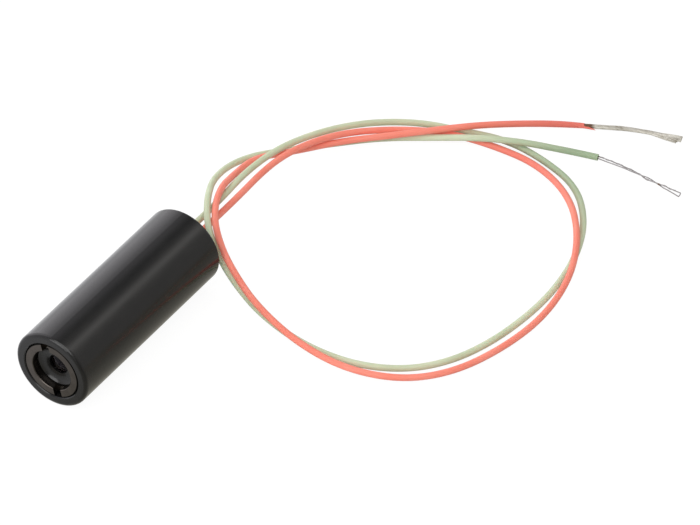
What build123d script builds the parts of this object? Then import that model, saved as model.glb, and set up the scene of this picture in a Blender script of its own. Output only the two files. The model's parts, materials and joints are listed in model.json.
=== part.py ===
from build123d import *
from math import atan2, degrees, pi, radians, sqrt, tan
import os

# A small laser diode module: a plain round barrel with a slotted focus ring, a lens and a
# spring in its front end, a canned laser diode on a shoulder in the middle, a driver board
# behind it and two thin leads out of the plugged rear end.
# Lengths are in millimetres. The barrel lies along Y with its lens end at -Y, and it rests
# on Z = 0. The origin is at the middle of the barrel's underside.

# Barrel
module_diameter = 10.5
module_length = 28.0
front_edge_fillet = 0.5
rear_edge_fillet = 0.3

# Front bore, which holds the focus ring, the lens cell and the spring
front_wall = 1.3
focus_bore_depth = 6.7
bore_mouth_chamfer = 0.12

# Shoulder that carries the diode, and the bore behind it
shoulder_thickness = 1.2
rear_wall = 0.95
rear_bore_chamfer = 0.15

# Focus ring, turned by a flat key in its two slots
ring_clearance = 0.08
ring_recess = 0.06
ring_thickness = 1.1
ring_wall = 1.06
ring_edge_chamfer = 0.08
slot_width = 1.15
slot_floor = 0.3
slot_angle = 14

# Lens cell
cell_running_gap = 0.02
cell_clearance = 0.05
cell_wall = 0.5
dish_margin = 0.07
dish_depth = 0.38
dish_bow = 0.1
aperture_length = 0.2
spring_ledge_depth = 2.5
pilot_gap = 0.38
pilot_length = 1.0

# Collimating lens
lens_clearance = 0.05
lens_seat_width = 0.81
lens_edge_thickness = 1.5
lens_front_dome = 0.24
lens_front_rim = 0.09
lens_rear_dome = 0.55
lens_rear_rim = 0.25

# Focus spring
spring_wire_radius = 0.19
spring_side_gap = 0.44
spring_turns = 3.5

# Canned laser diode
header_radius = 2.8
header_clearance = 0.05
header_thickness = 1.2
header_step = 0.1
notch_width = 0.45
notch_depth = 0.3
pin_radius = 0.225
pin_circle_radius = 1.0
seal_radius = 0.5
pin_inner_length = 0.6
pedestal_width = 1.3
pedestal_thickness = 0.7
pedestal_height = 1.3
submount_width = 0.8
submount_length = 0.9
submount_thickness = 0.2
chip_width = 0.3
chip_length = 0.6
chip_thickness = 0.12
photodiode_side = 0.55
photodiode_thickness = 0.15
photodiode_gap = 0.06
cap_wall = 0.2
cap_height = 2.3
cap_flange_margin = 0.45
cap_flange_width = 0.5
cap_flange_thickness = 0.22
cap_hole_clearance = 0.1
cap_corner_fillet = 0.15
window_side_gap = 0.35
window_seat = 0.5
window_thickness = 0.25

# Threaded ring that holds the diode against the shoulder
clamp_clearance = 0.08
clamp_thickness = 1.6
clamp_lip = 0.9
clamp_slot_width = 0.8
clamp_slot_depth = 0.6

# Driver board
board_thickness = 0.8
board_clearance = 0.13
board_gap = 0.8
board_rear_gap = 1.3
board_corner_radius = 0.6
pad_height = 0.02

# Parts on the driver board, which take their lengths along it from its own length
chip_body_length = 2.9
chip_body_share = 0.12
chip_body_height = 1.1
transistor_body_share = 0.097
body_edge_chamfer = 0.15
leg_pitch = 0.95
leg_width = 0.4
leg_reach_share = 0.045
leg_thickness = 0.18
leg_rise = 0.45
capacitor_length_share = 0.15
capacitor_width = 1.25
capacitor_height = 0.9
resistor_length_share = 0.12
resistor_width = 0.8
resistor_height = 0.45
small_part_edge = 0.08
trimmer_side_share = 0.224
trimmer_height = 0.9
trimmer_rotor_share = 0.367
trimmer_rotor_height = 0.3
trimmer_slot_width = 0.3
trimmer_slot_depth = 0.2
part_spacing_share = 0.045
solder_length_share = 0.082
solder_width = 0.9
solder_height = 0.42
solder_edge = 0.16
solder_gap = 0.01

# Rear plug
plug_thickness = 1.5
plug_recess = 0.3
plug_clearance = 0.04
plug_edge_chamfer = 0.15
lead_hole_clearance = 0.05

# Leads
lead_diameter = 0.85
green_bundle_radius = 0.24
red_bundle_radius = 0.28
flat_tip_length = 2.7
flat_tip_width = 1.1
flat_tip_thickness = 0.22
lead_rest_gap = 0.03
bend_share = 0.45

# Small overrun for every cut
overrun = 0.5

# Radii that follow from the barrel's walls, from the outside in
focus_bore_radius = module_diameter / 2 - front_wall
rear_bore_radius = module_diameter / 2 - rear_wall
ring_bore_radius = focus_bore_radius - ring_clearance - ring_wall
slot_depth = ring_thickness - slot_floor
dish_radius = ring_bore_radius - dish_margin
spring_coil_radius = focus_bore_radius - spring_side_gap - spring_wire_radius
pilot_radius = spring_coil_radius - spring_wire_radius - pilot_gap
lens_radius = pilot_radius - cell_wall - lens_clearance
lens_rear_dome_radius = lens_radius - lens_rear_rim
aperture_radius = lens_radius - lens_seat_width
lens_front_dome_radius = aperture_radius - lens_front_rim

# Radii of the diode that follow from its header
cap_flange_radius = header_radius - cap_flange_margin
cap_radius = cap_flange_radius - cap_flange_width
window_radius = cap_radius - cap_wall - window_side_gap
window_hole_radius = window_radius - window_seat
beam_hole_radius = cap_flange_radius + cap_hole_clearance
clamp_bore_radius = header_radius - clamp_lip

# Places along the barrel, measured from the front face
axis_height = module_diameter / 2
front_y = -module_length / 2
shoulder_front = focus_bore_depth
shoulder_rear = shoulder_front + shoulder_thickness
header_rear = shoulder_rear + header_thickness
ring_front = ring_recess
ring_rear = ring_front + ring_thickness
cell_front = ring_rear + cell_running_gap
aperture_front = cell_front + dish_depth
lens_seat = aperture_front + aperture_length
spring_ledge = cell_front + spring_ledge_depth
cell_rear = spring_ledge + pilot_length
clamp_rear = header_rear + clamp_thickness
board_front = clamp_rear + board_gap
plug_rear = module_length - plug_recess
plug_front = plug_rear - plug_thickness
board_rear = plug_front - board_rear_gap
board_length = board_rear - board_front

# The diode's pins straddle the board: two on top of it and one under it
pin_pair_rise = board_thickness + 2 * pin_radius - pin_circle_radius
pin_pair_spread = sqrt(pin_circle_radius**2 - pin_pair_rise**2)
board_top = axis_height + pin_pair_rise - pin_radius - pad_height
board_bottom = board_top - board_thickness + 2 * pad_height
lead_height = board_top + lead_diameter / 2 + lead_rest_gap
board_reach = max(board_top - axis_height, axis_height - board_bottom)
board_width = 2 * sqrt((rear_bore_radius - board_clearance) ** 2 - board_reach**2)

# Lengths along the board
solder_length = solder_length_share * board_length
part_spacing = part_spacing_share * board_length
chip_body_width = chip_body_share * board_length
transistor_body_width = transistor_body_share * board_length
leg_reach = leg_reach_share * board_length
trimmer_side = trimmer_side_share * board_length
trimmer_rotor_radius = trimmer_rotor_share * trimmer_side
capacitor_length = capacitor_length_share * board_length
resistor_length = resistor_length_share * board_length

# Rows along the board, counted from its front edge
pin_row = solder_length / 2 + part_spacing
chip_row = pin_row + solder_length + chip_body_width / 2 + leg_reach
trimmer_row = chip_row + chip_body_width / 2 + leg_reach + part_spacing + trimmer_side / 2
lead_row = board_length - solder_length / 2
side_column = board_width / 4
pin_outer_length = clamp_thickness + board_gap + pin_row + solder_length / 2 + part_spacing / 2

barrel_axis = Axis((0, front_y, axis_height), (0, 1, 0))
section = Plane(origin=(0, front_y, axis_height), x_dir=(0, 1, 0), z_dir=(1, 0, 0))


def face_at(depth):
    """A plane across the barrel at this depth, seen from the lens end."""
    return Plane(origin=(0, front_y + depth, axis_height), x_dir=(1, 0, 0), z_dir=(0, -1, 0))


def board_side(height):
    """A plane lying on one side of the board, with its origin at the board's front edge."""
    return Plane(origin=(0, front_y + board_front, height), x_dir=(1, 0, 0), z_dir=(0, 0, 1))


os.makedirs("parts", exist_ok=True)


# Housing: one turned barrel with its bores and its shoulder
with BuildPart() as housing:
    with BuildSketch(section):
        with BuildLine():
            Polyline(
                (0, focus_bore_radius + bore_mouth_chamfer),
                (0, module_diameter / 2),
                (module_length, module_diameter / 2),
                (module_length, rear_bore_radius + rear_bore_chamfer),
                (module_length - rear_bore_chamfer, rear_bore_radius),
                (header_rear - header_step, rear_bore_radius),
                (header_rear - header_step, header_radius + header_clearance),
                (shoulder_rear, header_radius + header_clearance),
                (shoulder_rear, beam_hole_radius),
                (shoulder_front, beam_hole_radius),
                (shoulder_front, focus_bore_radius),
                (bore_mouth_chamfer, focus_bore_radius),
                close=True,
            )
        make_face()
    revolve(axis=barrel_axis)
    rims = housing.edges().filter_by(GeomType.CIRCLE).sort_by(SortBy.RADIUS)[-2:].sort_by(Axis.Y)
    fillet(rims[0], radius=front_edge_fillet)
    rims = housing.edges().filter_by(GeomType.CIRCLE).sort_by(Axis.Y)
    fillet(rims[-2:].sort_by(SortBy.RADIUS)[-1], radius=rear_edge_fillet)

# Focus ring: a threaded ring with a key slot on each side of its bore
with BuildPart() as focus_ring:
    with BuildSketch(section):
        with Locations((ring_front, ring_bore_radius)):
            Rectangle(
                ring_thickness,
                focus_bore_radius - ring_clearance - ring_bore_radius,
                align=(Align.MIN, Align.MIN),
            )
    revolve(axis=barrel_axis)
    chamfer(focus_ring.edges().filter_by(GeomType.CIRCLE), length=ring_edge_chamfer)
    with BuildSketch(face_at(ring_front)):
        Rectangle(slot_width, module_diameter, rotation=slot_angle)
    extrude(amount=-slot_depth, mode=Mode.SUBTRACT)

# Lens cell: a cup with a dished face, a light hole and a ledge for the spring
with BuildPart() as lens_cell:
    with BuildSketch(section):
        with BuildLine():
            Polyline(
                (aperture_front, aperture_radius),
                (lens_seat, aperture_radius),
                (lens_seat, lens_radius + lens_clearance),
                (cell_rear, lens_radius + lens_clearance),
                (cell_rear, pilot_radius),
                (spring_ledge, pilot_radius),
                (spring_ledge, focus_bore_radius - cell_clearance),
                (cell_front, focus_bore_radius - cell_clearance),
                (cell_front, dish_radius),
            )
            ThreePointArc(
                (cell_front, dish_radius),
                (
                    cell_front + dish_depth / 2 + dish_bow,
                    (dish_radius + aperture_radius) / 2 + dish_bow,
                ),
                (aperture_front, aperture_radius),
            )
        make_face()
    revolve(axis=barrel_axis)

# Collimating lens: a thick moulded lens with a seating flange
with BuildPart() as collimating_lens:
    lens_rear_edge = lens_seat + lens_edge_thickness
    lens_rear = lens_rear_edge + lens_rear_dome
    with BuildSketch(section):
        with BuildLine():
            Line((lens_rear, 0), (lens_seat - lens_front_dome, 0))
            RadiusArc(
                (lens_seat - lens_front_dome, 0),
                (lens_seat, lens_front_dome_radius),
                (lens_front_dome_radius**2 + lens_front_dome**2) / (2 * lens_front_dome),
            )
            Polyline(
                (lens_seat, lens_front_dome_radius),
                (lens_seat, lens_radius),
                (lens_rear_edge, lens_radius),
                (lens_rear_edge, lens_rear_dome_radius),
            )
            RadiusArc(
                (lens_rear_edge, lens_rear_dome_radius),
                (lens_rear, 0),
                (lens_rear_dome_radius**2 + lens_rear_dome**2) / (2 * lens_rear_dome),
            )
        make_face()
    revolve(axis=barrel_axis)

# Focus spring: an open coil with its ends ground flat on the ledge and the shoulder
spring_length = shoulder_front - spring_ledge
with BuildPart() as focus_spring:
    with BuildLine() as coil:
        Helix(
            pitch=spring_length / spring_turns,
            height=spring_length,
            radius=spring_coil_radius,
            center=(0, front_y + spring_ledge, axis_height),
            direction=(0, 1, 0),
        )
    with BuildSketch(Plane(origin=coil.line @ 0, z_dir=coil.line % 0)):
        Circle(spring_wire_radius)
    sweep(path=coil.line, is_frenet=True)
    with BuildSketch(face_at(spring_ledge)):
        Circle(focus_bore_radius)
    extrude(amount=-spring_length, mode=Mode.INTERSECT)

# Diode header: a round base with two index notches, a chip pedestal and sealed pin holes
with BuildPart() as diode_header:
    with BuildSketch(face_at(shoulder_rear)):
        Circle(header_radius)
        with PolarLocations(header_radius, 2):
            Rectangle(2 * notch_depth, notch_width, mode=Mode.SUBTRACT)
        with Locations((-pin_pair_spread, pin_pair_rise), (pin_pair_spread, pin_pair_rise)):
            Circle(seal_radius, mode=Mode.SUBTRACT)
    extrude(amount=-header_thickness)
    with BuildSketch(face_at(shoulder_rear)):
        with Locations((0, -submount_thickness - chip_thickness / 2)):
            Rectangle(pedestal_width, pedestal_thickness, align=(Align.CENTER, Align.MAX))
    extrude(amount=pedestal_height)

# Glass seals around the two pins that pass through the header
with BuildPart() as pin_seals:
    with BuildSketch(face_at(shoulder_rear)):
        with Locations((-pin_pair_spread, pin_pair_rise), (pin_pair_spread, pin_pair_rise)):
            Circle(seal_radius)
            Circle(pin_radius, mode=Mode.SUBTRACT)
    extrude(amount=-header_thickness)

# Diode pins: two through the seals and one on the back of the header
with BuildPart() as diode_pins:
    with BuildSketch(face_at(shoulder_rear - pin_inner_length)):
        with Locations((-pin_pair_spread, pin_pair_rise), (pin_pair_spread, pin_pair_rise)):
            Circle(pin_radius)
    extrude(amount=-(pin_inner_length + header_thickness + pin_outer_length))
    with BuildSketch(face_at(header_rear)):
        with Locations((0, -pin_circle_radius)):
            Circle(pin_radius)
    extrude(amount=-pin_outer_length)

# Submount, laser chip and monitor photodiode inside the can
pedestal_top = -submount_thickness - chip_thickness / 2
pedestal_end = shoulder_rear - pedestal_height
with BuildPart() as chip_submount:
    with BuildSketch(face_at(pedestal_end)):
        with Locations((0, pedestal_top)):
            Rectangle(submount_width, submount_thickness, align=(Align.CENTER, Align.MIN))
    extrude(amount=-submount_length)

with BuildPart() as laser_chip:
    with BuildSketch(face_at(pedestal_end)):
        with Locations((0, pedestal_top + submount_thickness)):
            Rectangle(chip_width, chip_thickness, align=(Align.CENTER, Align.MIN))
    extrude(amount=-chip_length)

with BuildPart() as monitor_photodiode:
    with BuildSketch(face_at(shoulder_rear)):
        with Locations((0, pedestal_top + photodiode_gap)):
            Rectangle(photodiode_side, photodiode_side, align=(Align.CENTER, Align.MIN))
    extrude(amount=photodiode_thickness)

# Diode cap: a flanged can with a round window hole
cap_front = shoulder_rear - cap_height
with BuildPart() as diode_cap:
    with BuildSketch(section):
        with BuildLine():
            Polyline(
                (cap_front, window_hole_radius),
                (cap_front, cap_radius),
                (shoulder_rear - cap_flange_thickness, cap_radius),
                (shoulder_rear - cap_flange_thickness, cap_flange_radius),
                (shoulder_rear, cap_flange_radius),
                (shoulder_rear, cap_radius - cap_wall),
                (cap_front + cap_wall, cap_radius - cap_wall),
                (cap_front + cap_wall, window_hole_radius),
                close=True,
            )
        make_face()
    revolve(axis=barrel_axis)
    nose = diode_cap.edges().filter_by(GeomType.CIRCLE).group_by(Axis.Y)[0]
    fillet(nose.sort_by(SortBy.RADIUS)[-1], radius=cap_corner_fillet)

# Window: a glass disc behind the cap's hole
with BuildPart() as diode_window:
    with BuildSketch(face_at(cap_front + cap_wall)):
        Circle(window_radius)
    extrude(amount=-window_thickness)

# Clamp ring: screwed into the rear bore against the diode, with two key slots
with BuildPart() as clamp_ring:
    with BuildSketch(face_at(header_rear)):
        Circle(rear_bore_radius - clamp_clearance)
        Circle(clamp_bore_radius, mode=Mode.SUBTRACT)
    extrude(amount=-clamp_thickness)
    with BuildSketch(face_at(clamp_rear)):
        Rectangle(module_diameter, clamp_slot_width)
    extrude(amount=clamp_slot_depth, mode=Mode.SUBTRACT)

# Driver board: a slim card that slides into the rear bore
with BuildPart() as driver_board:
    with BuildSketch(board_side(board_top)):
        with Locations((0, board_length / 2)):
            RectangleRounded(board_width, board_length, board_corner_radius)
    extrude(amount=-(board_top - board_bottom))


def gull_wing(side):
    """Half-section of one bent leg, from the body out to its foot."""
    knee = side * leg_reach / 3
    foot = side * leg_reach
    return [
        (0, leg_rise),
        (0, leg_rise + leg_thickness),
        (knee + side * leg_thickness, leg_rise + leg_thickness),
        (knee + side * leg_thickness, leg_thickness),
        (foot, leg_thickness),
        (foot, 0),
        (knee, 0),
        (knee, leg_rise),
    ]


# Driver chip: a moulded body with five bent legs
with BuildPart() as driver_chip:
    with BuildSketch(board_side(board_top + leg_thickness)):
        with Locations((-side_column, chip_row)):
            Rectangle(chip_body_length, chip_body_width)
    extrude(amount=chip_body_height)
    chamfer(driver_chip.faces().sort_by(Axis.Z)[-1].edges(), length=body_edge_chamfer)
    for side, columns in ((1, (-1, 1)), (-1, (-1, 0, 1))):
        for column in columns:
            leg_x = -side_column + column * leg_pitch + leg_width / 2
            leg_plane = Plane(
                origin=(leg_x, front_y + board_front + chip_row + side * chip_body_width / 2, board_top),
                x_dir=(0, 1, 0),
                z_dir=(1, 0, 0),
            )
            with BuildSketch(leg_plane):
                with BuildLine():
                    Polyline(gull_wing(side), close=True)
                make_face()
            extrude(amount=-leg_width)

# Drive transistor: a smaller body with three legs
with BuildPart() as drive_transistor:
    with BuildSketch(board_side(board_top + leg_thickness)):
        with Locations((side_column, chip_row)):
            Rectangle(chip_body_length, transistor_body_width)
    extrude(amount=chip_body_height)
    chamfer(drive_transistor.faces().sort_by(Axis.Z)[-1].edges(), length=body_edge_chamfer)
    for side, columns in ((1, (0,)), (-1, (-1, 1))):
        for column in columns:
            leg_x = side_column + column * leg_pitch + leg_width / 2
            leg_plane = Plane(
                origin=(
                    leg_x,
                    front_y + board_front + chip_row + side * transistor_body_width / 2,
                    board_top,
                ),
                x_dir=(0, 1, 0),
                z_dir=(1, 0, 0),
            )
            with BuildSketch(leg_plane):
                with BuildLine():
                    Polyline(gull_wing(side), close=True)
                make_face()
            extrude(amount=-leg_width)

# Power trimmer: a square base with a slotted round rotor
with BuildPart() as power_trimmer:
    with BuildSketch(board_side(board_top)):
        with Locations((-side_column, trimmer_row)):
            Rectangle(trimmer_side, trimmer_side)
    extrude(amount=trimmer_height)
    chamfer(power_trimmer.edges().filter_by(Axis.Z), length=body_edge_chamfer)
    with BuildSketch(board_side(board_top + trimmer_height)):
        with Locations((-side_column, trimmer_row)):
            Circle(trimmer_rotor_radius)
    extrude(amount=trimmer_rotor_height)
    with BuildSketch(board_side(board_top + trimmer_height + trimmer_rotor_height)):
        with Locations((-side_column, trimmer_row)):
            Rectangle(trimmer_slot_width, 2 * trimmer_rotor_radius)
            Rectangle(2 * trimmer_rotor_radius, trimmer_slot_width)
    extrude(amount=-trimmer_slot_depth, mode=Mode.SUBTRACT)

# Capacitors: two blocks beside the trimmer and one under the board
capacitor_row = trimmer_row - trimmer_side / 2 + capacitor_length / 2
with BuildPart() as capacitors:
    with BuildSketch(board_side(board_top)):
        with Locations((side_column, capacitor_row)):
            with GridLocations(capacitor_width + part_spacing, 0, 2, 1):
                Rectangle(capacitor_width, capacitor_length)
    extrude(amount=capacitor_height)
    with BuildSketch(board_side(board_bottom)):
        with Locations((0, board_length / 2)):
            Rectangle(capacitor_width, capacitor_length)
    extrude(amount=-capacitor_height)
    chamfer(capacitors.edges().filter_by(Axis.Y), length=small_part_edge)

# Resistors: three small blocks in a row in front of the lead pads
resistor_row = trimmer_row + trimmer_side / 2 + part_spacing + resistor_length / 2
with BuildPart() as resistors:
    with BuildSketch(board_side(board_top)):
        with Locations((0, resistor_row)):
            with GridLocations(resistor_width + part_spacing, 0, 3, 1):
                Rectangle(resistor_width, resistor_length)
    extrude(amount=resistor_height)
    chamfer(resistors.edges().filter_by(Axis.Y), length=small_part_edge)

# Routes of the leads, in millimetres: out of the rear plug, once around the loop on the
# table, over their own exits beside the barrel and out to the stripped ends
green_exit_x = -0.85
red_exit_x = 0.6
lead_start_y = front_y + board_rear - solder_length + solder_gap
green_route = [
    (green_exit_x, lead_start_y, lead_height),
    (green_exit_x, 16.2, lead_height),
    (-1.37, 23.25, 5.0),
    (-1.91, 29.37, 4.85),
    (-1.74, 35.3, 4.35),
    (-0.81, 40.24, 3.48),
    (0.92, 45.31, 2.51),
    (3.67, 50.02, 1.52),
    (8.2, 53.97, 0.78),
    (13.61, 55.99, 0.49),
    (19.05, 57.71, 0.47),
    (24.97, 57.16, 0.47),
    (31.2, 54.9, 0.47),
    (35.68, 50.0, 0.47),
    (38.32, 43.92, 0.47),
    (39.5, 37.39, 0.47),
    (39.42, 31.11, 0.47),
    (38.28, 24.34, 0.47),
    (36.02, 18.6, 0.47),
    (32.2, 14.23, 0.47),
    (26.41, 11.57, 0.47),
    (19.2, 11.22, 0.47),
    (12.37, 12.65, 0.68),
    (7.72, 14.25, 1.68),
    (4.38, 15.28, 3.83),
    (1.27, 16.75, 6.41),
    (-1.68, 20.94, 6.83),
    (-4.19, 26.53, 5.35),
    (-4.81, 33.18, 3.35),
    (-2.27, 39.19, 1.77),
    (1.55, 44.2, 0.84),
    (5.75, 48.88, 0.59),
    (11.41, 52.3, 0.94),
    (16.8, 55.0, 1.6),
    (21.93, 57.37, 1.58),
    (26.07, 59.3, 1.01),
    (28.36, 60.63, 0.47),
    (30.47, 61.18, 0.47),
]
green_end_route = [
    (30.47, 61.18, 0.47),
    (34.2, 61.5, 0.46),
    (38.5, 61.15, 0.44),
    (42.9, 60.82, 0.43),
]
red_route = [
    (red_exit_x, lead_start_y, lead_height),
    (red_exit_x, 16.2, lead_height),
    (-0.08, 24.49, 4.63),
    (-0.96, 33.59, 4.16),
    (0.38, 38.67, 3.66),
    (2.34, 44.95, 2.83),
    (6.53, 49.98, 1.69),
    (11.8, 54.12, 0.8),
    (17.99, 55.66, 0.47),
    (25.16, 55.68, 0.55),
    (32.24, 52.06, 1.01),
    (37.53, 45.46, 1.56),
    (40.56, 38.55, 1.4),
    (41.3, 31.33, 0.85),
    (40.03, 24.09, 0.53),
    (37.4, 17.27, 0.47),
    (32.98, 12.4, 0.63),
    (26.34, 10.0, 0.91),
    (19.02, 10.39, 1.29),
    (11.85, 12.4, 2.01),
    (7.33, 14.29, 3.5),
    (4.08, 15.77, 5.61),
    (0.83, 18.93, 6.78),
    (-1.72, 23.88, 6.34),
    (-2.91, 28.64, 4.71),
    (-3.64, 34.16, 3.29),
    (-0.82, 38.78, 2.39),
    (2.86, 44.09, 2.0),
    (7.27, 48.32, 2.0),
    (11.47, 52.58, 2.0),
    (15.4, 57.1, 1.58),
    (20.07, 61.55, 0.92),
    (23.52, 64.34, 0.47),
    (26.37, 65.8, 0.47),
]
red_end_route = [
    (26.37, 65.8, 0.47),
    (29.6, 67.5, 0.46),
    (32.6, 68.8, 0.45),
    (34.6, 69.35, 0.45),
]


def bend_radii(route):
    """The largest arc that fits each corner: its tangents take a set share of the shorter run."""
    points = [Vector(*p) for p in route]
    radii = []
    for before, corner, after in zip(points, points[1:], points[2:]):
        run_in = corner - before
        run_out = after - corner
        reach = bend_share * min(run_in.length, run_out.length)
        radii.append(reach / tan(radians(run_in.get_angle(run_out)) / 2))
    return radii


def straight_and_arcs(route):
    """The path of a cord: straight runs joined by tangent arcs."""
    return FilletPolyline(*route, radius=bend_radii(route))


# Rear plug: a black disc with a hole for each lead
with BuildPart() as rear_plug:
    with BuildSketch(face_at(plug_rear)):
        Circle(rear_bore_radius - plug_clearance)
        with Locations(
            (green_exit_x, lead_height - axis_height),
            (red_exit_x, lead_height - axis_height),
        ):
            Circle(lead_diameter / 2 + lead_hole_clearance, mode=Mode.SUBTRACT)
    extrude(amount=plug_thickness)
    rim = rear_plug.edges().filter_by(GeomType.CIRCLE).group_by(Axis.Y)[-1]
    chamfer(rim.sort_by(SortBy.RADIUS)[-1], length=plug_edge_chamfer)

# Solder joints: one over each diode pin and one at the end of each lead
with BuildPart() as solder_joints:
    with BuildSketch(board_side(board_top)):
        with Locations((-pin_pair_spread, pin_row), (pin_pair_spread, pin_row)):
            Rectangle(solder_width, solder_length)
        with Locations((green_exit_x, lead_row - solder_length), (red_exit_x, lead_row - solder_length)):
            Rectangle(solder_width, solder_length)
    extrude(amount=solder_height)
    with BuildSketch(board_side(board_bottom)):
        with Locations((0, pin_row)):
            Rectangle(solder_width, solder_length)
    extrude(amount=-solder_height)
    top_edges = solder_joints.faces().filter_by(Axis.Z).sort_by(Axis.Z)[-4:].edges()
    chamfer(top_edges, length=solder_edge)
    bottom_edges = solder_joints.faces().filter_by(Axis.Z).sort_by(Axis.Z)[0].edges()
    chamfer(bottom_edges, length=solder_edge)
    with BuildSketch(face_at(header_rear)):
        with Locations(
            (-pin_pair_spread, pin_pair_rise),
            (pin_pair_spread, pin_pair_rise),
            (0, -pin_circle_radius),
        ):
            Circle(pin_radius + solder_gap)
    extrude(amount=-(pin_outer_length + solder_gap), mode=Mode.SUBTRACT)

# Leads and their stripped ends
with BuildPart() as green_lead:
    with BuildLine() as green_path:
        straight_and_arcs(green_route)
    with BuildSketch(Plane(origin=green_path.line @ 0, z_dir=green_path.line % 0)):
        Circle(lead_diameter / 2)
    sweep(path=green_path.line)

with BuildPart() as green_tinned_end:
    with BuildLine() as green_end_path:
        straight_and_arcs(green_end_route)
    with BuildSketch(Plane(origin=green_end_path.line @ 0, z_dir=green_end_path.line % 0)):
        Circle(green_bundle_radius)
    sweep(path=green_end_path.line)

with BuildPart() as red_lead:
    with BuildLine() as red_path:
        straight_and_arcs(red_route)
    with BuildSketch(Plane(origin=red_path.line @ 0, z_dir=red_path.line % 0)):
        Circle(lead_diameter / 2)
    sweep(path=red_path.line)

# The red lead's strands were pressed flat at their tip
with BuildPart() as red_tinned_end:
    with BuildLine() as red_end_path:
        straight_and_arcs(red_end_route)
    with BuildSketch(Plane(origin=red_end_path.line @ 0, z_dir=red_end_path.line % 0)):
        Circle(red_bundle_radius)
    sweep(path=red_end_path.line)
    tip_direction = red_end_path.line % 1
    tip_side = Vector(-tip_direction.Y, tip_direction.X, 0)
    flat_start = Plane(origin=red_end_path.line @ 1, x_dir=tip_side, z_dir=tip_direction)
    with BuildSketch(flat_start):
        Circle(red_bundle_radius)
    with BuildSketch(flat_start.offset(flat_tip_length)):
        Ellipse(flat_tip_width / 2, flat_tip_thickness / 2)
    loft()

for name, route, path, tube, radius in (
    ("green lead", green_route, green_path, green_lead, lead_diameter / 2),
    ("green end", green_end_route, green_end_path, green_tinned_end, green_bundle_radius),
    ("red lead", red_route, red_path, red_lead, lead_diameter / 2),
):
    length = path.wires()[0].length
    print(name, "length", round(length, 1), "radii", [round(r, 1) for r in bend_radii(route)])
    print(name, "volume over section x length", round(tube.part.volume / (pi * radius**2 * length), 4))

housing.part.label = "housing"
export_step(housing.part, "parts/housing.step")
focus_ring.part.label = "focus_ring"
export_step(focus_ring.part, "parts/focus_ring.step")
lens_cell.part.label = "lens_cell"
export_step(lens_cell.part, "parts/lens_cell.step")
collimating_lens.part.label = "collimating_lens"
export_step(collimating_lens.part, "parts/collimating_lens.step")
focus_spring.part.label = "focus_spring"
export_step(focus_spring.part, "parts/focus_spring.step")
diode_header.part.label = "diode_header"
export_step(diode_header.part, "parts/diode_header.step")
pin_seals.part.label = "pin_seals"
export_step(pin_seals.part, "parts/pin_seals.step")
diode_pins.part.label = "diode_pins"
export_step(diode_pins.part, "parts/diode_pins.step")
chip_submount.part.label = "chip_submount"
export_step(chip_submount.part, "parts/chip_submount.step")
laser_chip.part.label = "laser_chip"
export_step(laser_chip.part, "parts/laser_chip.step")
monitor_photodiode.part.label = "monitor_photodiode"
export_step(monitor_photodiode.part, "parts/monitor_photodiode.step")
diode_cap.part.label = "diode_cap"
export_step(diode_cap.part, "parts/diode_cap.step")
diode_window.part.label = "diode_window"
export_step(diode_window.part, "parts/diode_window.step")
clamp_ring.part.label = "clamp_ring"
export_step(clamp_ring.part, "parts/clamp_ring.step")
driver_board.part.label = "driver_board"
export_step(driver_board.part, "parts/driver_board.step")
driver_chip.part.label = "driver_chip"
export_step(driver_chip.part, "parts/driver_chip.step")
drive_transistor.part.label = "drive_transistor"
export_step(drive_transistor.part, "parts/drive_transistor.step")
power_trimmer.part.label = "power_trimmer"
export_step(power_trimmer.part, "parts/power_trimmer.step")
capacitors.part.label = "capacitors"
export_step(capacitors.part, "parts/capacitors.step")
resistors.part.label = "resistors"
export_step(resistors.part, "parts/resistors.step")
solder_joints.part.label = "solder_joints"
export_step(solder_joints.part, "parts/solder_joints.step")
rear_plug.part.label = "rear_plug"
export_step(rear_plug.part, "parts/rear_plug.step")
green_lead.part.label = "green_lead"
export_step(green_lead.part, "parts/green_lead.step")
green_tinned_end.part.label = "green_tinned_end"
export_step(green_tinned_end.part, "parts/green_tinned_end.step")
red_lead.part.label = "red_lead"
export_step(red_lead.part, "parts/red_lead.step")
red_tinned_end.part.label = "red_tinned_end"
export_step(red_tinned_end.part, "parts/red_tinned_end.step")
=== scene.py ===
"""Laser diode module: leads, stripped ends, materials, light and camera.

Lengths are in metres in the frame of the CAD model: +Y runs along the barrel from the
lens end to the lead end, +Z is up, and the origin lies under the middle of the barrel.
"""
import json
import math

import bpy
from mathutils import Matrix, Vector

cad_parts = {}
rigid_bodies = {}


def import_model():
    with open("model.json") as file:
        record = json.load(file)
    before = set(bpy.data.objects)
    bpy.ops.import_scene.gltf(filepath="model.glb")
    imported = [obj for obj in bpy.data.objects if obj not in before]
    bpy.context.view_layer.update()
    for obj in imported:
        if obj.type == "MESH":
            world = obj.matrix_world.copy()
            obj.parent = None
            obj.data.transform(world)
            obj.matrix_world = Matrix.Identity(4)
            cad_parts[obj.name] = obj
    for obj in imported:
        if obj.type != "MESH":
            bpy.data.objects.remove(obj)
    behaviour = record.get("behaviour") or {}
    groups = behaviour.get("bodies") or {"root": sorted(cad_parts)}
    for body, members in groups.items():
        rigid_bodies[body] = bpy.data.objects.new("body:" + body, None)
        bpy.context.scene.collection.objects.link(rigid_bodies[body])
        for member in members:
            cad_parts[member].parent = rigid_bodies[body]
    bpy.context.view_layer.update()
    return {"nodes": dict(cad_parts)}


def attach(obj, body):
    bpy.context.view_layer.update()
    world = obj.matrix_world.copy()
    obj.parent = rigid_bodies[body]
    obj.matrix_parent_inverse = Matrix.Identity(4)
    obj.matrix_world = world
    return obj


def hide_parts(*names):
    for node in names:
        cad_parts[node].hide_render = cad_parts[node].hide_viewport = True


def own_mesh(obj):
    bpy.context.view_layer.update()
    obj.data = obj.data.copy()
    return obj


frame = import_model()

MM = 0.001
UP = Vector((0, 0, 1))

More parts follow.
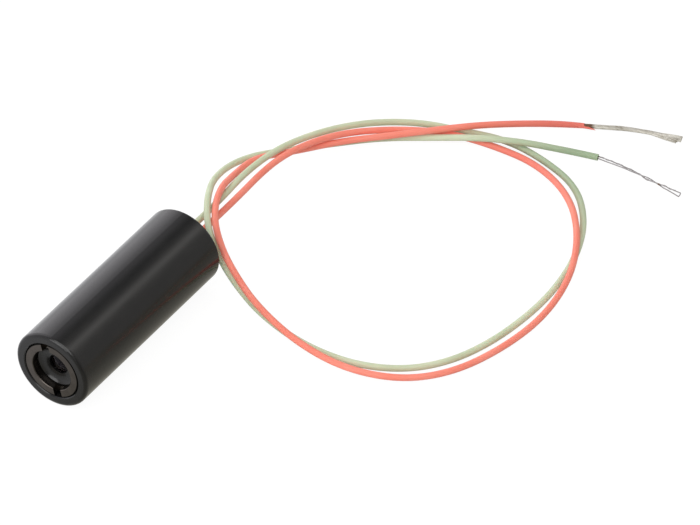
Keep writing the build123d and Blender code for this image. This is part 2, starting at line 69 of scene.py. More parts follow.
# Camera
CAMERA_PLACE = (0.33112, -0.44034, 0.49753)
CAMERA_TARGET = (0.01542, 0.02744, 0.0)
CAMERA_LENS = 311.98
CAMERA_NEAR = 0.01
SENSOR_WIDTH = 36.0

# Barrel and focus mechanism
AXIS_HEIGHT = 0.00525

# Leads
LEAD_DIAMETER = 0.00085
LEAD_HEIGHT = 0.00571
LEAD_EXIT_Y = 0.0137
GREEN_EXIT_X = -0.00085
RED_EXIT_X = 0.0006
RED_TORN_SHARE = 0.8
ROUTE_STEPS = 10
LEAD_ROUNDNESS = 5

# Routes: the CAD model's points, most of them moved a little to follow the photograph
GREEN_ROUTE = [
    (-0.00085, 0.009811, 0.00571),
    (-0.00085, 0.0162, 0.00571),
    (-0.00137, 0.02325, 0.005),
    (-0.00187, 0.02935, 0.00485),
    (-0.00164, 0.03523, 0.00435),
    (-0.00077, 0.04021, 0.00348),
    (0.00097, 0.04526, 0.00251),
    (0.00369, 0.05, 0.00152),
    (0.00817, 0.05402, 0.00078),
    (0.0136, 0.05601, 0.00049),
    (0.01909, 0.05759, 0.00047),
    (0.025, 0.05696, 0.00047),
    (0.0312, 0.0549, 0.00047),
    (0.03567, 0.04999, 0.00047),
    (0.03828, 0.04392, 0.00047),
    (0.03946, 0.0374, 0.00047),
    (0.03937, 0.03113, 0.00047),
    (0.03824, 0.02437, 0.00047),
    (0.03598, 0.01864, 0.00047),
    (0.03217, 0.01427, 0.00047),
    (0.02639, 0.01161, 0.00047),
    (0.0192, 0.01122, 0.00047),
    (0.01237, 0.01265, 0.00068),
    (0.00772, 0.01425, 0.00168),
    (0.00438, 0.01528, 0.00383),
    (0.0014, 0.01683, 0.00641),
    (-0.00162, 0.02098, 0.00683),
    (-0.00436, 0.02647, 0.00535),
    (-0.0048, 0.03317, 0.00335),
    (-0.00215, 0.03905, 0.00177),
    (0.00145, 0.04432, 0.00084),
    (0.0057, 0.04894, 0.00059),
    (0.01139, 0.05232, 0.00094),
    (0.01679, 0.05501, 0.0016),
    (0.02193, 0.05737, 0.00158),
    (0.02607, 0.0593, 0.00101),
    (0.02836, 0.06063, 0.00047),
    (0.03047, 0.06118, 0.00047),
]
GREEN_END_ROUTE = [
    (0.030473, 0.061181, 0.000475),
    (0.0342, 0.0615, 0.00046),
    (0.0385, 0.06115, 0.00044),
    (0.0429, 0.06082, 0.00043),
]
RED_ROUTE = [
    (0.0006, 0.009811, 0.00571),
    (0.0006, 0.0162, 0.00571),
    (-0.00007, 0.02448, 0.00463),
    (-0.00067, 0.03326, 0.00416),
    (0.00019, 0.03894, 0.00366),
    (0.00252, 0.04474, 0.00283),
    (0.00652, 0.04999, 0.00169),
    (0.01178, 0.05417, 0.0008),
    (0.01797, 0.05572, 0.00047),
    (0.02516, 0.05568, 0.00055),
    (0.03224, 0.05206, 0.00101),
    (0.03753, 0.04546, 0.00156),
    (0.04056, 0.03855, 0.0014),
    (0.0413, 0.03133, 0.00085),
    (0.03999, 0.02411, 0.00053),
    (0.03737, 0.0173, 0.00047),
    (0.03295, 0.01244, 0.00063),
    (0.02633, 0.01004, 0.00091),
    (0.01902, 0.0104, 0.00129),
    (0.01185, 0.01244, 0.00201),
    (0.00733, 0.0143, 0.0035),
    (0.00408, 0.01577, 0.00561),
    (0.00082, 0.01892, 0.00678),
    (-0.00174, 0.02388, 0.00634),
    (-0.00291, 0.02864, 0.00471),
    (-0.00358, 0.03411, 0.00329),
    (-0.00081, 0.03877, 0.00239),
    (0.0028, 0.04416, 0.002),
    (0.0072, 0.04841, 0.002),
    (0.01142, 0.05265, 0.002),
    (0.01538, 0.05713, 0.00158),
    (0.02006, 0.06157, 0.00092),
    (0.02351, 0.06436, 0.00047),
    (0.0257, 0.06546, 0.00047),
]
RED_END_ROUTE = [
    (0.0257, 0.06546, 0.00047),
    (0.0296, 0.0675, 0.00046),
    (0.0326, 0.0688, 0.00045),
    (0.0346, 0.06935, 0.00045),
    (0.03745, 0.0699, 0.00045),
]

# Sliver of torn insulation: reach, sideways place, width and height radii in mm
SLIVER = [
    (-0.80, 0.18, 0.20, 0.18),
    (-0.10, 0.22, 0.20, 0.17),
    (0.50, 0.34, 0.17, 0.13),
    (0.95, 0.48, 0.13, 0.09),
    (1.25, 0.58, 0.08, 0.06),
    (1.48, 0.68, 0.03, 0.025),
]
SLIVER_DROP = 0.02

# Sealant beads round the exits: reach and radius in mm
BEAD = [(-0.05, 0.70), (0.05, 0.68), (0.14, 0.60), (0.19, 0.49), (0.20, 0.435)]
BEAD_SIDES = 24

# Green strands: half turns and spread in mm at shares of the length
STRAND_SIDES = 8
GREEN_STEPS = 120
GREEN_STRAND_RADIUS = 0.072 * MM
GREEN_FLATNESS = 0.6
GREEN_TURNS = [(0.0, 0.0), (0.40, 0.10), (0.48, 0.25), (0.54, 0.5), (0.60, 1.0),
               (0.74, 1.5), (0.84, 2.0), (1.0, 2.0)]
GREEN_SPREAD = [(0.0, 0.19), (0.10, 0.22), (0.22, 0.20), (0.32, 0.16), (0.44, 0.15),
                (0.54, 0.12), (0.64, 0.19), (0.74, 0.12), (0.84, 0.20), (0.93, 0.28),
                (1.0, 0.36)]

# Each green strand's half turns at its start, and the share of the length where it ends
GREEN_PAIR = [(0.0, 1.0), (1.0, 0.985)]
CROSS_STRAND_BEND = Vector((0.06, 0.0, 0.03)) * MM
CROSS_STRAND_STEPS = 9

# Wraps on the second green strand: first share, last share, and turns in the whole length
GREEN_WRAPS = [(0.0, 0.62, 9.0), (0.16, 0.80, -7.0), (0.70, 0.93, 8.0)]
GREEN_WRAP_RADIUS = 0.07 * MM
GREEN_WRAP_WIRE = 0.05 * MM

# Red strands: a round twist at first, partly pressed where the tip starts, flat at its end
RED_STEPS = 90
RED_STRAND_RADIUS = 0.09 * MM
RED_STRAND_COUNT = 7
RED_TWIST = 1.1
RED_START_SPREAD = 0.225 * MM
RED_START_FLATNESS = 0.8
RED_END_SPREAD = 0.50 * MM
RED_TIP_FROM = 0.62
RED_TIP_PRESSED = 0.42
RED_TIP_TILT = math.radians(25.0)
RED_TIP_THINNING = 0.15
RED_SHORT_ROW = 0.4
RED_SHORT_STEPS = 4

# Tin between the red strands: its rows, and shares of the strands' spread and radius
TIN_STEPS = 60
TIN_SHORT_STEPS = 2
TIN_ROWS = (-0.5, 0.0, 0.5)
TIN_TIP_WIDTH = 0.42
TIN_START_HEIGHT = 0.9
TIN_TIP_HEIGHT = 0.7

# Noise: the span of values in use, and the values where patches have each of two colours
NOISE_SPAN = (0.3, 0.7)
PATCH_EDGES = (0.35, 0.65)
GRAIN_FINENESS = 6
GRAIN_DETAIL = 2.0

# Mottled finishes: name, two colours, patch scale, roughness, grain depth, metallic
MOTTLED = {
    "cell_plastic": ("cell", ((0.006, 0.006, 0.006), (0.010, 0.010, 0.009)),
                     1500.0, (0.14, 0.22), 0.002 * MM, 0.0),
    "spring_steel": ("spring", ((0.50, 0.49, 0.47), (0.62, 0.61, 0.58)),
                     2200.0, (0.22, 0.34), 0.003 * MM, 1.0),
    "gold_plate": ("gold", ((0.86, 0.62, 0.27), (0.92, 0.70, 0.36)),
                   1800.0, (0.18, 0.30), 0.002 * MM, 1.0),
    "seal_glass": ("seal", ((0.015, 0.022, 0.020), (0.030, 0.042, 0.036)),
                   1600.0, (0.08, 0.18), 0.0, 0.0),
    "silicon": ("silicon", ((0.16, 0.16, 0.18), (0.22, 0.22, 0.25)),
                3000.0, (0.12, 0.22), 0.0, 0.6),
    "laser_crystal": ("crystal", ((0.10, 0.09, 0.10), (0.16, 0.15, 0.15)),
                      5000.0, (0.10, 0.20), 0.0, 0.5),
    "nickel_plate": ("nickel", ((0.58, 0.55, 0.50), (0.68, 0.65, 0.60)),
                     1500.0, (0.20, 0.32), 0.002 * MM, 1.0),
    "mould_compound": ("moulding", ((0.012, 0.012, 0.013), (0.024, 0.024, 0.025)),
                       6000.0, (0.50, 0.64), 0.006 * MM, 0.0),
    "trimmer_body": ("trimmer", ((0.03, 0.09, 0.32), (0.05, 0.13, 0.42)),
                     2500.0, (0.36, 0.48), 0.004 * MM, 0.0),
    "capacitor_ceramic": ("ceramic", ((0.36, 0.24, 0.14), (0.46, 0.32, 0.20)),
                          3500.0, (0.40, 0.52), 0.003 * MM, 0.0),
    "resistor_black": ("resistor", ((0.010, 0.010, 0.011), (0.020, 0.020, 0.022)),
                       4000.0, (0.28, 0.42), 0.003 * MM, 0.0),
    "solder": ("solder", ((0.52, 0.52, 0.50), (0.68, 0.68, 0.66)),
               2000.0, (0.20, 0.38), 0.01 * MM, 1.0),
    "plug_black": ("sealant", ((0.010, 0.010, 0.010), (0.018, 0.017, 0.016)),
                   700.0, (0.30, 0.48), 0.03 * MM, 0.0),
}

# Turned finishes: name, two colours, roughness, depth of the lines, metallic, and the
# distance from the barrel's axis beyond which painted shade darkens the finish
# Painted shade: the ring's outer edge darkened where the gap round the ring shades it
RING_SHADE_BEYOND = 3.75 * MM
RING_PAINTED_SHADE = (0.012, 0.011, 0.010)
TURNED = {
    "black_anodised": ("anodised", ((0.0045, 0.0045, 0.0047), (0.0065, 0.0063, 0.0062)),
                       (0.17, 0.23), 0.0012 * MM, 0.0, None),
    "ring_metal": ("ring", ((0.100, 0.088, 0.078), (0.120, 0.106, 0.095)),
                   (0.26, 0.34), 0.003 * MM, 1.0, RING_SHADE_BEYOND),
    "clamp_brass": ("brass", ((0.62, 0.43, 0.18), (0.72, 0.52, 0.24)),
                    (0.24, 0.36), 0.004 * MM, 1.0, None),
}
TURNED_LINES = 9000.0
TURNED_LINE_DETAIL = 2.0
TURNED_SLOPE = 1.7
TURNED_PATCHES = 900.0
TURNED_STRETCH = (1.0, 0.35, 1.0)

# Clear finishes: name, tint, roughness, refractive index and tint of the gloss
LENS_SHINE = (0.10, 0.08, 0.12)
FULL_SHINE = (1.0, 1.0, 1.0)
CLEAR = {
    # The lens's dark tint is painted shade for the unlit inside of the aperture behind it
    "lens_plastic": ("lens", (0.10, 0.07, 0.085), 0.02, 1.49, LENS_SHINE),
    "window_glass": ("window", (0.95, 0.97, 0.96), 0.01, 1.52, FULL_SHINE),
}
CLEAR_PATCHES = 500.0
CLEAR_DIMMING = 0.97

# Board: green mask over tracks
BOARD_COLOUR = (0.02, 0.12, 0.05)
BOARD_ROUGHNESS = (0.28, 0.42)
BOARD_PLAIN_ROUGHNESS = 0.35
BOARD_WEAVE = 2500.0
BOARD_STRETCH = (1.0, 3.0, 1.0)
BOARD_WEAVE_DEPTH = 0.01 * MM
TRACK_SCALE = 420.0
TRACK_GAP = 0.035
TRACK_COLOURS = ((0.015, 0.10, 0.045), (0.02, 0.125, 0.055))
TRACK_EDGE_COLOUR = (0.05, 0.24, 0.10)

# Insulation: three colours in patches, and painted shade that darkens them within a reach of the
# stripped end
GREEN_PVC = ((0.545, 0.615, 0.415), (0.605, 0.67, 0.465), (0.655, 0.71, 0.515))
RED_PVC = ((0.92, 0.245, 0.175), (0.96, 0.275, 0.20), (0.98, 0.30, 0.225))
GREEN_PAINTED_SHADE = (0.35, 0.45, 0.29)
RED_PAINTED_SHADE = (0.78, 0.185, 0.14)
PAINTED_SHADE_REACH = (3.0 * MM, 18.0 * MM)
PVC_ROUGHNESS = (0.42, 0.55)
PVC_PATCHES = 240.0
PVC_PATCH_DETAIL = 4.0
PVC_PATCH_EDGES = (0.30, 0.52, 0.72)
PVC_GLOW = 0.25
PVC_GLOW_RADIUS = (1.0, 0.6, 0.5)
PVC_GLOW_DEPTH = 0.15 * MM
PVC_GLOSS = 0.35
PVC_GRAIN = 4200.0
PVC_GRAIN_DEPTH = 0.006 * MM

# Tinned strands: patches, one darker colour for the green lead's strands, and dark spots
TIN_COLOUR = (0.60, 0.57, 0.49)
TIN_METALLIC = 0.5
TIN_ROUGHNESS = (0.48, 0.28)
TIN_PLAIN_ROUGHNESS = 0.45
TIN_STRETCH = (0.3, 0.8, 1.0)
TIN_PATCHES = 2600.0
TIN_PATCH_DETAIL = 4.0
TIN_COLOURS = [
    (0.28, (0.28, 0.24, 0.18)),
    (0.40, (0.49, 0.465, 0.40)),
    (0.66, (0.67, 0.65, 0.585)),
]
TIN_GRAIN = 9000.0
TIN_GRAIN_DEPTH = 0.009 * MM
FINE_TIN = (0.36, 0.34, 0.345)
FINE_TIN_CENTRE = (0.0367, 0.0611, 0.00045)
FINE_TIN_REACH = 7.5 * MM
DARK_SPOT_COLOUR = (0.17, 0.095, 0.055)
DARK_SPOT_CORE = 0.6
DARK_SPOTS = [
    ((0.0259, 0.06556, 0.00047), 1.15 * MM),
    ((0.0305, 0.0612, 0.00047), 0.35 * MM),
    ((0.0396, 0.06105, 0.00044), 0.26 * MM),
]

# Floor: its colour, its own white in the camera, and its brightness in reflections, a painted
# reflection
FLOOR_SIZE = 4.0
FLOOR_SHADE = 0.78
FLOOR_SHADE_SEEN = 0.12
FLOOR_WHITE = 0.93
FLOOR_FRONT_GLOW = 0.72
FLOOR_FRONT_Y = -0.0145
FLOOR_GLOW_SPAN = 0.2
FLOOR_GLOW_SCALE = 2.0
# Painted reflection: the floor's glow in reflections, bright on the left, dim on the right and
# dimmer in front
FLOOR_GLOW = [
    (-0.1, (1.15, 1.15, 1.18)),
    (-0.012, (1.17, 1.17, 1.20)),
    (-0.003, (0.86, 0.86, 0.86)),
    (0.0045, (0.51, 0.49, 0.42)),
    (0.012, (0.53, 0.505, 0.435)),
    (0.02, (0.46, 0.44, 0.38)),
    (0.1, (0.44, 0.42, 0.36)),
]

# Studio: direction across the barrel, level, warmth
STUDIO_LEVELS = [
    (-1.0, 1.6, -0.01),
    (-0.72, 1.6, -0.01),
    (-0.61, 1.46, -0.01),
    (-0.47, 0.78, -0.01),
    (-0.31, 0.58, -0.01),
    (-0.15, 0.35, 0.0),
    (-0.07, 0.28, 0.0),
    (0.10, 0.44, 0.01),
    (0.18, 0.54, 0.02),
    (0.26, 0.92, 0.02),
    (0.33, 1.32, 0.02),
    (0.39, 1.52, 0.02),
    (0.45, 1.10, 0.02),
    (0.51, 0.74, 0.02),
    (0.57, 0.62, 0.02),
    (0.76, 0.53, 0.02),
    (1.0, 0.46, 0.03),
]
STUDIO_SCALE = 2.0
STUDIO_COOL_GREEN = 2.2
STUDIO_WARM_BLUE = 1.5
STUDIO_FRONT_SHARE = 0.5
STUDIO_FRONT_SPAN = (-0.5, -0.1)

# Lamps
LAMP_DISTANCE = 0.9
KEY_DIRECTION = (0.1, -0.6, 0.8)
KEY_SIZE = 0.9
KEY_POWER = 3.8
FRONT_DIRECTION = (-0.22, -0.91, 0.31)
FRONT_SIZE = 0.52
FRONT_POWER = 1.8


# Curves and meshes

def link(data, name):
    """Puts new data into the scene as an object of that name."""
    obj = bpy.data.objects.new(name, data)
    bpy.context.scene.collection.objects.link(obj)
    return obj


def smooth_route(name, points, radius=0.0):
    """One open NURBS spline with the route's points as its control points."""
    data = bpy.data.curves.new(name, "CURVE")
    data.dimensions = "3D"
    data.resolution_u = ROUTE_STEPS
    spline = data.splines.new("NURBS")
    spline.points.add(len(points) - 1)
    for control, place in zip(spline.points, points):
        control.co = (*place, 1.0)
        control.radius = radius
    spline.order_u = 3
    spline.use_endpoint_u = True
    return data


def route_line(points):
    """Points read from a route's smooth curve."""
    curve = link(smooth_route("route", points), "route")
    graph = bpy.context.evaluated_depsgraph_get()
    mesh = bpy.data.meshes.new_from_object(curve.evaluated_get(graph))
    line = [vertex.co.copy() for vertex in mesh.vertices]
    bpy.data.meshes.remove(mesh)
    bpy.data.objects.remove(curve)
    return line


def even_line(line, count):
    """The same line with its points evenly spaced."""
    reach = [0.0]
    for start, end in zip(line, line[1:]):
        reach.append(reach[-1] + (end - start).length)
    even = []
    piece = 0
    for number in range(count):
        goal = reach[-1] * number / (count - 1)
        while piece < len(line) - 2 and reach[piece + 1] < goal:
            piece += 1
        span = reach[piece + 1] - reach[piece]
        even.append(line[piece].lerp(line[piece + 1], (goal - reach[piece]) / span))
    return even


def direction_at(line, number):
    """The direction of a line at one of its points."""
    before = line[max(number - 1, 0)]
    after = line[min(number + 1, len(line) - 1)]
    return (after - before).normalized()


def side_ways(line):
    """The level direction across the line at each of its points."""
    return [direction_at(line, number).cross(UP).normalized() for number in range(len(line))]


def ring_points(centre, along, radii, sides):
    """Points of an oval around a centre, across the direction of the wire."""
    side = along.cross(UP).normalized()
    rise = side.cross(along).normalized()
    ring = []
    for number in range(sides):
        turn = 2 * math.pi * number / sides
        ring.append(centre + side * radii[0] * math.cos(turn) + rise * radii[1] * math.sin(turn))
    return ring


def round_wire(centres, radius):
    """A wire of one radius, as points with their width and height radii."""
    return [(place, (radius, radius)) for place in centres]


def wire_mesh(name, wires, sides):
    """One mesh of closed wires, each a list of points with its width and height radii."""
    points = []
    faces = []
    for wire in wires:
        first = len(points)
        places = [place for place, radii in wire]
        for number, (place, radii) in enumerate(wire):
            points.extend(ring_points(place, direction_at(places, number), radii, sides))
        for number in range(len(wire) - 1):
            start = first + number * sides
            for corner in range(sides):
                beside = (corner + 1) % sides
                faces.append((start + corner, start + beside,
                              start + sides + beside, start + sides + corner))
        faces.append(tuple(range(first + sides - 1, first - 1, -1)))
        last = first + (len(wire) - 1) * sides
        faces.append(tuple(range(last, last + sides)))
    mesh = bpy.data.meshes.new(name)
    mesh.from_pydata([tuple(point) for point in points], [], faces)
    mesh.update()
    for face in mesh.polygons:
        face.use_smooth = len(face.vertices) == 4
    return mesh


# Leads

def make_lead(name, points, node, end_share=1.0):
    """A lead's insulation: a round tube along its route's smooth curve."""
    data = smooth_route(name, points, LEAD_DIAMETER / 2)
    data.splines[0].points[-1].radius *= end_share
    data.bevel_depth = 1.0
    data.bevel_resolution = LEAD_ROUNDNESS
    data.use_fill_caps = True
    lead = link(data, name)
    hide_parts(node)
    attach(lead, "barrel")
    return lead


def eased(stops, share):
    """A value between stops of a share and a value, joined by straight lines."""
    for (low, first), (high, last) in zip(stops, stops[1:]):
        if share <= high:
            return first + (last - first) * (share - low) / (high - low)
    return stops[-1][1]


def green_centres(line, sides, half_turns, end_share):
    """The middle line of one of the green lead's two strands."""
    centres = []
    for number, place in enumerate(line):
        share = number / (len(line) - 1)
        if share > end_share:
            break
        turn = math.pi * (half_turns + eased(GREEN_TURNS, share))
        spread = eased(GREEN_SPREAD, share) * MM
        centre = place + sides[number] * spread * math.cos(turn)
        centres.append(centre + UP * spread * GREEN_FLATNESS * math.sin(turn))
    return centres


def green_wrap(centres, sides, first, last, turns):
    """A thin wire wound round a strand between two shares of the length."""
    wrap = []
    for number, place in enumerate(centres):
        share = number / (len(sides) - 1)
        if first <= share <= last:
            turn = 2 * math.pi * turns * share
            centre = place + sides[number] * GREEN_WRAP_RADIUS * math.cos(turn)
            wrap.append(centre + UP * GREEN_WRAP_RADIUS * math.sin(turn))
    return round_wire(wrap, GREEN_WRAP_WIRE)


def green_cross_strand(first, second):
    """The short strand that closes the splayed end of the green lead's strands."""
    points = [first, first.lerp(second, 0.5) + CROSS_STRAND_BEND, second]
    return round_wire(even_line(points, CROSS_STRAND_STEPS), GREEN_STRAND_RADIUS)


def green_strands():
    """A loosely twisted pair of strands with a splayed end, and thin wraps on one of them."""
    line = even_line(route_line(GREEN_END_ROUTE), GREEN_STEPS)
    sides = side_ways(line)
    pair = [green_centres(line, sides, *strand) for strand in GREEN_PAIR]
    wires = [round_wire(centres, GREEN_STRAND_RADIUS) for centres in pair]
    wires.extend(green_wrap(pair[1], sides, *wrap) for wrap in GREEN_WRAPS)
    wires.append(green_cross_strand(pair[0][-1], pair[1][-1]))
    return wires


def red_flat_share(share):
    """How far the red strands are pressed flat at this share of their length."""
    if share < RED_TIP_FROM:
        return RED_TIP_PRESSED * share / RED_TIP_FROM
    rest = (share - RED_TIP_FROM) / (1 - RED_TIP_FROM)
    return RED_TIP_PRESSED + (1 - RED_TIP_PRESSED) * rest * rest * (3 - 2 * rest)


def red_strand(line, sides, strand):
    """One red strand: part of a round twist at first, and in a flat row at the tip."""
    phase = 2 * math.pi * strand / RED_STRAND_COUNT
    row = 2 * strand / (RED_STRAND_COUNT - 1) - 1
    last = len(line) - RED_SHORT_STEPS if row > RED_SHORT_ROW else len(line)
    wire = []
    for number, place in enumerate(line[:last]):
        share = number / (len(line) - 1)
        flat = red_flat_share(share)
        turn = phase + 2 * math.pi * RED_TWIST * share
        across = (1 - flat) * RED_START_SPREAD * math.cos(turn)
        across += flat * RED_END_SPREAD * row * math.cos(RED_TIP_TILT)
        up = (1 - flat) * RED_START_SPREAD * RED_START_FLATNESS * math.sin(turn)
        up -= flat * RED_END_SPREAD * row * math.sin(RED_TIP_TILT)
        high = RED_STRAND_RADIUS * (1 - RED_TIP_THINNING * flat)
        wire.append((place + sides[number] * across + UP * up, (RED_STRAND_RADIUS, high)))
    return wire


def red_tin(line, sides, row):
    """A run of the tin that fills the gaps between the red strands."""
    wire = []
    for number, place in enumerate(line[:-TIN_SHORT_STEPS]):
        flat = red_flat_share(number / (len(line) - 1))
        across = flat * RED_END_SPREAD * row
        centre = place + sides[number] * across * math.cos(RED_TIP_TILT)
        centre -= UP * across * math.sin(RED_TIP_TILT)
        wide = (1 - flat) * RED_START_SPREAD + flat * RED_END_SPREAD * TIN_TIP_WIDTH
        high = (1 - flat) * RED_START_SPREAD * TIN_START_HEIGHT
        high += flat * RED_STRAND_RADIUS * TIN_TIP_HEIGHT
        wire.append((centre, (wide, high)))
    return wire


def red_strands():
    """Strands fused by tin: a round twist that is pressed flat towards its end."""
    smooth = route_line(RED_END_ROUTE)
    line = even_line(smooth, RED_STEPS)
    sides = side_ways(line)
    wires = [red_strand(line, sides, strand) for strand in range(RED_STRAND_COUNT)]
    line = even_line(smooth, TIN_STEPS)
    sides = side_ways(line)
    wires.extend(red_tin(line, sides, row) for row in TIN_ROWS)
    return wires


def torn_sliver():
    """A sliver of red insulation left on the stripped end."""
    start = Vector(RED_END_ROUTE[0])
    along = (Vector(RED_END_ROUTE[1]) - start).normalized()
    side = along.cross(UP)
    wire = []
    for reach, across, wide, high in SLIVER:
        place = start + (along * reach + side * across - UP * SLIVER_DROP) * MM
        wire.append((place, (wide * MM, high * MM)))
    return wire


def exit_bead(exit_x):
    """A small bead of black sealant round a lead where it leaves the rear plug."""
    wire = []
    for reach, radius in BEAD:
        place = Vector((exit_x, LEAD_EXIT_Y + reach * MM, LEAD_HEIGHT))
        wire.append((place, (radius * MM, radius * MM)))
    return wire


def make_piece(name, wires, node=None, sides=STRAND_SIDES):
    """Puts a wire mesh into the scene on the barrel's body."""
    piece = link(wire_mesh(name, wires, sides), name)
    if node:
        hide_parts(node)
    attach(piece, "barrel")
    return piece


# Focus spring

def shortening_spring():
    """The focus spring: a copy of its node's mesh on the barrel's body, with the node hidden."""
    spring = link(frame["nodes"]["focus_spring"].data.copy(), "focus_spring_coil")
    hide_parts("focus_spring")
    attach(spring, "barrel")
    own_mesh(spring)


# Nodes of materials

def new_material(name, colour, roughness, metallic=0.0, ior=1.5):
    """A material with its shader, its object coordinates and its node tree."""
    material = bpy.data.materials.new(name)
    material.use_nodes = True
    tree = material.node_tree
    shader = tree.nodes["Principled BSDF"]
    shader.inputs["Base Color"].default_value = (*colour, 1)
    shader.inputs["Roughness"].default_value = roughness
    shader.inputs["Metallic"].default_value = metallic
    shader.inputs["IOR"].default_value = ior
    place = tree.nodes.new("ShaderNodeTexCoord").outputs["Object"]
    return material, tree, shader, place


def scaled(tree, place, scale):
    """The coordinates multiplied by a scale for each axis."""
    node = tree.nodes.new("ShaderNodeVectorMath")
    node.operation = "MULTIPLY"
    tree.links.new(place, node.inputs[0])
    node.inputs[1].default_value = scale
    return node.outputs["Vector"]


def distance_from(tree, place, centre):
    """Distance of the coordinates from a point."""
    node = tree.nodes.new("ShaderNodeVectorMath")
    node.operation = "DISTANCE"
    tree.links.new(place, node.inputs[0])
    node.inputs[1].default_value = centre
    return node.outputs["Value"]


def separated(tree, vector):
    """The X, Y and Z outputs of a vector."""
    node = tree.nodes.new("ShaderNodeSeparateXYZ")
    tree.links.new(vector, node.inputs["Vector"])
    return node.outputs


def noise(tree, place, scale, detail=3.0, dimensions="3D"):
    """A noise texture's value; its scale is in waves a metre."""
    node = tree.nodes.new("ShaderNodeTexNoise")
    node.noise_dimensions = dimensions
    node.inputs["Scale"].default_value = scale
    node.inputs["Detail"].default_value = detail
    socket = "W" if dimensions == "1D" else "Vector"
    tree.links.new(place, node.inputs[socket])
    return node.outputs["Fac"]


def ramp(tree, value, stops):
    """A colour for each value, from stops of a position and a colour."""
    node = tree.nodes.new("ShaderNodeValToRGB")
    elements = node.color_ramp.elements
    while len(elements) < len(stops):
        elements.new(0.5)
    for element, (position, colour) in zip(elements, stops):
        element.position = position
        element.color = (*colour, 1)
    tree.links.new(value, node.inputs["Fac"])
    return node.outputs["Color"]


def mixed(tree, share, first, second):
    """A colour socket that gives way to a plain colour by a share."""
    node = tree.nodes.new("ShaderNodeMix")
    node.data_type = "RGBA"
    tree.links.new(share, node.inputs["Factor"])
    tree.links.new(first, node.inputs["A"])
    node.inputs["B"].default_value = (*second, 1)
    return node.outputs["Result"]


def map_range(tree, value, span, levels):
    """The value mapped from one span onto two levels, and held beyond its ends."""
    node = tree.nodes.new("ShaderNodeMapRange")
    node.inputs["From Min"].default_value = span[0]
    node.inputs["From Max"].default_value = span[1]
    node.inputs["To Min"].default_value = levels[0]
    node.inputs["To Max"].default_value = levels[1]
    tree.links.new(value, node.inputs["Value"])
    return node.outputs["Result"]


def bump(tree, shader, height, depth):
    """Bumps the surface by a height value, to a depth in metres."""
    node = tree.nodes.new("ShaderNodeBump")
    node.inputs["Distance"].default_value = depth
    node.inputs["Strength"].default_value = 1.0
    tree.links.new(height, node.inputs["Height"])
    tree.links.new(node.outputs["Normal"], shader.inputs["Normal"])


def math_node(tree, operation, first, second=None):
    """A math node's value, from sockets or plain numbers."""
    node = tree.nodes.new("ShaderNodeMath")
    node.operation = operation
    for number, value in enumerate((first, second)):
        if value is None:
            continue
        if isinstance(value, (int, float)):
            node.inputs[number].default_value = value
        else:
            tree.links.new(value, node.inputs[number])
    return node.outputs["Value"]


def radius_from_axis(tree, place):
    """Distance from the barrel's axis and place along it, for lines turned on a lathe."""
    axes = separated(tree, place)
    up = math_node(tree, "SUBTRACT", axes["Z"], AXIS_HEIGHT)
    across = math_node(tree, "MULTIPLY", axes["X"], axes["X"])
    rise = math_node(tree, "MULTIPLY", up, up)
    return math_node(tree, "SQRT", math_node(tree, "ADD", across, rise)), axes["Y"]


# Materials

def mottled(name, colours, patch_scale, roughness, grain_depth, metallic):
    """A finish whose colour and roughness vary a little, with a fine grain."""
    material, tree, shader, place = new_material(name, colours[0], roughness[0], metallic)
    patches = noise(tree, place, patch_scale)
    colour = ramp(tree, patches, list(zip(PATCH_EDGES, colours)))
    tree.links.new(colour, shader.inputs["Base Color"])
    tree.links.new(map_range(tree, patches, NOISE_SPAN, roughness), shader.inputs["Roughness"])
    if grain_depth:
        bump(tree, shader, noise(tree, place, patch_scale * GRAIN_FINENESS), grain_depth)
    return material


def turned(name, colours, roughness, line_depth, metallic, painted_shade_beyond):
    """A lathe-turned finish, which may have painted shade beyond a distance from the barrel's
    axis.
    """
    material, tree, shader, place = new_material(name, colours[0], roughness[0], metallic)
    radius, along = radius_from_axis(tree, place)
    run = math_node(tree, "ADD", along, math_node(tree, "MULTIPLY", radius, TURNED_SLOPE))
    lines = noise(tree, run, TURNED_LINES, TURNED_LINE_DETAIL, "1D")
    patches = noise(tree, scaled(tree, place, TURNED_STRETCH), TURNED_PATCHES)
    colour = ramp(tree, patches, list(zip(PATCH_EDGES, colours)))
    # painted shade on the ring's outer edge, beside the gap round it
    if painted_shade_beyond:
        beyond = math_node(tree, "GREATER_THAN", radius, painted_shade_beyond)
        colour = mixed(tree, beyond, colour, RING_PAINTED_SHADE)
    tree.links.new(colour, shader.inputs["Base Color"])
    tree.links.new(map_range(tree, patches, NOISE_SPAN, roughness), shader.inputs["Roughness"])
    bump(tree, shader, lines, line_depth)
    return material


def insulation(name, colours, end, painted_shade):
    """Soft matt wire insulation with a fine grain, and painted shade that makes it a little
    darker near its stripped end.
    """
    material, tree, shader, place = new_material(name, colours[0], PVC_ROUGHNESS[0])
    patches = noise(tree, place, PVC_PATCHES, PVC_PATCH_DETAIL)
    # painted shade: the colour darkens towards the stripped end
    near = map_range(tree, distance_from(tree, place, end), PAINTED_SHADE_REACH, (1.0, 0.0))
    colour = ramp(tree, patches, list(zip(PVC_PATCH_EDGES, colours)))
    tree.links.new(mixed(tree, near, colour, painted_shade), shader.inputs["Base Color"])
    rough = map_range(tree, patches, NOISE_SPAN, PVC_ROUGHNESS)
    tree.links.new(rough, shader.inputs["Roughness"])
    shader.inputs["Subsurface Weight"].default_value = PVC_GLOW
    shader.inputs["Subsurface Radius"].default_value = PVC_GLOW_RADIUS
    shader.inputs["Subsurface Scale"].default_value = PVC_GLOW_DEPTH
    shader.inputs["Specular IOR Level"].default_value = PVC_GLOSS
    bump(tree, shader, noise(tree, place, PVC_GRAIN, GRAIN_DETAIL), PVC_GRAIN_DEPTH)
    return material


